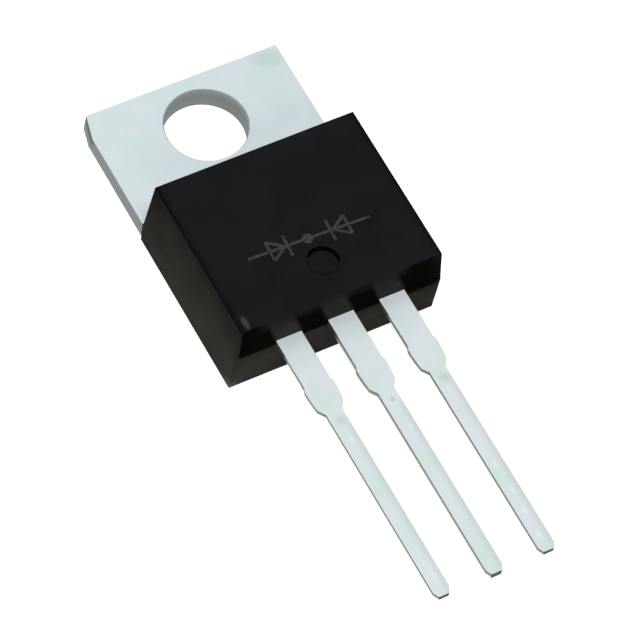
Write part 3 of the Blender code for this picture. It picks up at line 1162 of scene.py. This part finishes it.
@dataclass
class CircuitSymbol:
    """The laser-drawn circuit symbol: two diodes with a common cathode in the middle."""

    centre_y: float = 2.76 * MM
    level: float = 4.5 * MM
    half_line: float = 2.96 * MM
    base_x: float = 1.88 * MM
    tip_x: float = 1.15 * MM
    half_base: float = 0.50 * MM
    bar_x: float = 1.04 * MM
    half_bar: float = 0.56 * MM
    dot_radius: float = 0.25 * MM
    dot_x: float = -0.08 * MM
    dot_sides: int = 40
    turn: float = -2.1
    stroke: float = 0.135 * MM
    proud: float = 0.004 * MM
    layer: float = 0.0008 * MM

    def strokes(self) -> list[tuple[Point, Point]]:
        """The right-hand diode; the line's halves stop short of each other under the dot.

        Returns:
            The two ends of each stroke, across and along.
        """
        low, high = ((self.base_x, side * self.half_base) for side in (-1, 1))
        tip = (self.tip_x, 0.0)
        return [
            ((self.stroke / 2, 0.0), (self.half_line, 0.0)),
            (low, tip),
            (tip, high),
            (high, low),
            ((self.bar_x, -self.half_bar), (self.bar_x, self.half_bar)),
        ]

    def guide(self) -> Object:
        """The strokes as a mesh of bare edges, each a hair above the one that it crosses.

        Returns:
            An object whose edges the marking follows.
        """
        points: list[Place] = []
        edges: list[tuple[int, int]] = []
        for number, ends in enumerate(self.strokes()):
            edges.append((len(points), len(points) + 1))
            points += [(x, y, number * self.layer) for x, y in ends]
        mesh = bpy.data.meshes.new("symbol_strokes")
        mesh.from_pydata(points, edges, [])
        return new_piece("diode_symbol", mesh)

    def tree(self, material: Material) -> NodeTree:
        """The Geometry Nodes tree that turns strokes into the whole symbol.

        Args:
            material: The marking's material.

        Returns:
            A tree with the inputs Stroke, Thickness and Dot Radius.
        """
        tree = bpy.data.node_groups.new("Circuit Symbol", "GeometryNodeTree")
        tree.is_modifier = True
        inputs = {"Stroke": self.stroke, "Thickness": self.proud, "Dot Radius": self.dot_radius}
        group_socket(tree, "Geometry", "INPUT", "Geometry")
        for name, value in inputs.items():
            group_socket(tree, name, "INPUT", "Float", value)
        group_socket(tree, "Geometry", "OUTPUT", "Geometry")
        sheet = NodeSheet(tree)

        def node(kind: str, **values: object) -> Socket:
            """The first output of a new Geometry node."""
            named = {name.replace("_", " "): value for name, value in values.items()}
            return sheet.add(f"GeometryNode{kind}", named).outputs[0]

        source = sheet.add("NodeGroupInput").outputs
        curves = node("MeshToCurve", Mesh=source["Geometry"])
        flat = sheet.add("GeometryNodeSetCurveNormal", {"Curve": curves}, mode="Z_UP").outputs[0]
        section = node(
            "CurvePrimitiveQuadrilateral", Width=source["Stroke"], Height=source["Thickness"]
        )
        swept = node("CurveToMesh", Curve=flat, Profile_Curve=section, Fill_Caps=True)
        other = node("Transform", Geometry=swept, Rotation=(0.0, 0.0, math.pi))
        dot = node(
            "MeshCylinder", Vertices=self.dot_sides, Radius=source["Dot Radius"],
            Depth=source["Thickness"],
        )
        above = (self.dot_x, 0.0, len(self.strokes()) * self.layer)
        dot = node("Transform", Geometry=dot, Translation=above)
        joined = sheet.add("GeometryNodeJoinGeometry")
        for part in (dot, other, swept):
            tree.links.new(part, joined.inputs[0])
        moved = node(
            "Transform", Geometry=joined.outputs[0],
            Translation=(0.0, self.centre_y, self.level),
            Rotation=(0.0, 0.0, math.radians(self.turn)),
        )
        real = node("RealizeInstances", Geometry=moved)
        painted = node("SetMaterial", Geometry=real, Material=material)
        sheet.add("NodeGroupOutput", {0: painted})
        return tree

    def build(self, finishes: Finishes) -> Object:
        """Draws the symbol on the front face.

        Args:
            finishes: The package's materials.

        Returns:
            The marking's piece.
        """
        piece = self.guide()
        modifier = piece.modifiers.new("symbol", "NODES")
        modifier.node_group = self.tree(finishes["laser_mark"])
        for item in modifier.node_group.interface.items_tree:
            if item.in_out == "INPUT" and item.socket_type == "NodeSocketFloat":
                modifier[item.identifier] = item.default_value
        piece.data = evaluated_mesh(piece, "diode_symbol")
        piece.modifiers.clear()
        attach(piece, "root")
        return piece


def dress_inner(finishes: Finishes) -> list[str]:
    """Gives what the moulding seals in its materials: dies, solder and wires, kept as in the CAD.

    Args:
        finishes: The package's materials.

    Returns:
        Names of the CAD nodes that were dressed.
    """
    wanted = {}
    for side in Side:
        wanted[f"schottky_die_{side.value}"] = "die_silicon"
        wanted[f"die_solder_{side.value}"] = "soft_solder"
        for bond in "ab":
            wanted[f"bond_wire_{side.value}{bond}"] = "bond_aluminium"
    for name, finish in wanted.items():
        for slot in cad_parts[name].material_slots:
            slot.material = finishes[finish]
    return list(wanted)


# Studio


@dataclass(frozen=True)
class Lamp:
    """A square soft lamp that faces the object."""

    name: str
    place: Place
    size: float
    power: float

    def build(self) -> None:
        """Hangs the lamp."""
        data = bpy.data.lights.new(self.name, "AREA")
        data.shape = "SQUARE"
        data.size = self.size
        data.energy = self.power
        lamp = bpy.data.objects.new(self.name, data)
        lamp.location = self.place
        lamp.rotation_euler = (-Vector(self.place)).to_track_quat("-Z", "Y").to_euler()
        bpy.context.scene.collection.objects.link(lamp)


@dataclass
class Studio:
    """A pale floor, an even sky and two soft lamps."""

    floor_half: float = 0.6
    floor_gap: float = 0.01 * MM
    floor_colour: Colour = (0.90, 0.90, 0.90)
    floor_lift: float = 0.60
    sky: float = 0.38
    backdrop: float = 1.0
    white: Colour = (1.0, 1.0, 1.0)
    lamps: Sequence[Lamp] = (
        Lamp("key_lamp", (-0.16, -0.30, 0.40), 0.30, 1.75),
        Lamp("top_lamp", (-0.05, 0.26, 0.42), 0.30, 0.45),
    )

    def seen(self, sheet: NodeSheet) -> Socket:
        """1 for the rays that show the background: from the camera, a gloss or a glass.

        Args:
            sheet: The tree that asks.

        Returns:
            The mask's socket.
        """
        path = sheet.add("ShaderNodeLightPath").outputs
        direct = sheet.math("MAXIMUM", path["Is Camera Ray"], path["Is Glossy Ray"])
        return sheet.math("MAXIMUM", direct, path["Is Transmission Ray"])

    def floor(self) -> None:
        """Lays the floor, which stays white in the picture and keeps the shadow."""
        shape = bmesh.new()
        below = Matrix.Translation((0, 0, -self.floor_gap))
        bmesh.ops.create_grid(
            shape, x_segments=1, y_segments=1, size=self.floor_half, matrix=below
        )
        material = bpy.data.materials.new("studio_floor")
        material.use_nodes = True
        sheet = NodeSheet(material.node_tree)
        paper = sheet.add("ShaderNodeBsdfDiffuse", {"Color": rgba(self.floor_colour)})
        lift = sheet.product(self.seen(sheet), self.floor_lift)
        glow = sheet.add("ShaderNodeEmission", {"Color": rgba(self.white), "Strength": lift})
        both = sheet.add("ShaderNodeAddShader", {0: paper.outputs[0], 1: glow.outputs[0]})
        sheet.add("ShaderNodeOutputMaterial", {"Surface": both.outputs[0]})
        piece = piece_from(shape, "studio_floor", material)

    def world(self) -> None:
        """Makes an even sky: plain light on the object, white behind it."""
        world = bpy.data.worlds.new("studio")
        world.use_nodes = True
        bpy.context.scene.world = world
        sheet = NodeSheet(world.node_tree)
        gain = self.backdrop - self.sky
        values = {
            "Color": rgba(self.white),
            "Strength": sheet.math("MULTIPLY_ADD", self.seen(sheet), gain, self.sky),
        }
        sky = sheet.add("ShaderNodeBackground", values)
        sheet.add("ShaderNodeOutputWorld", {"Surface": sky.outputs[0]})

    def build(self) -> None:
        """Sets the stage and its light."""
        self.floor()
        self.world()
        for lamp in self.lamps:
            lamp.build()
        bpy.context.scene.view_settings.view_transform = "Standard"


@dataclass
class PhotoCamera:
    """The photograph's viewpoint, for a square picture of 640 by 640."""

    aim: Place = (-0.5814 * MM, 0.1248 * MM, 2.0 * MM)
    azimuth: float = 37.575
    elevation: float = 57.575
    roll: float = 11.104
    distance: float = 184.326 * MM
    focal_pixels: float = 4240.49
    picture: int = 640
    sensor: float = 36.0
    clip: Point = (0.01, 10.0)

    def build(self) -> None:
        """Makes the camera and sets it as the scene's."""
        angles = (self.azimuth, self.elevation, self.roll)
        turn, tilt, roll = (math.radians(angle) for angle in angles)
        east, north = math.sin(turn) * math.cos(tilt), math.cos(turn) * math.cos(tilt)
        forward = Vector((east, north, -math.sin(tilt)))
        level = Vector((math.cos(turn), -math.sin(turn), 0.0))
        upright = level.cross(forward)
        right = level * math.cos(roll) + upright * math.sin(roll)
        up = upright * math.cos(roll) - level * math.sin(roll)
        data = bpy.data.cameras.new("photo_camera")
        data.sensor_width = self.sensor
        data.lens = self.focal_pixels * self.sensor / self.picture
        data.clip_start, data.clip_end = self.clip
        camera = bpy.data.objects.new("photo_camera", data)
        place = Matrix.Translation(Vector(self.aim) - forward * self.distance)
        camera.matrix_world = place @ Matrix((right, up, -forward)).transposed().to_4x4()
        bpy.context.scene.collection.objects.link(camera)
        bpy.context.scene.camera = camera


def main() -> None:
    """Builds the package piece by piece, then its stage."""
    logging.basicConfig(level=logging.INFO, format="%(name)s: %(message)s")
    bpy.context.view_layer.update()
    PhotoCamera().build()
    finishes = make_finishes()
    makers = (
        Moulding(),
        Stamping("heatsink_tab", "tab_and_cathode_lead"),
        Stamping("anode_lead_1", "left_anode_lead", foot_round=0.10 * MM),
        Stamping("anode_lead_2", "right_anode_lead", foot_round=0.10 * MM),
        CircuitSymbol(),
    )
    for maker in makers:
        piece = maker.build(finishes)
        LOG.info("%s: %d faces", piece.name, len(piece.data.polygons))
    LOG.info("inside: %s", ", ".join(dress_inner(finishes)))
    Studio().build()


if __name__ == "__main__":
    main()
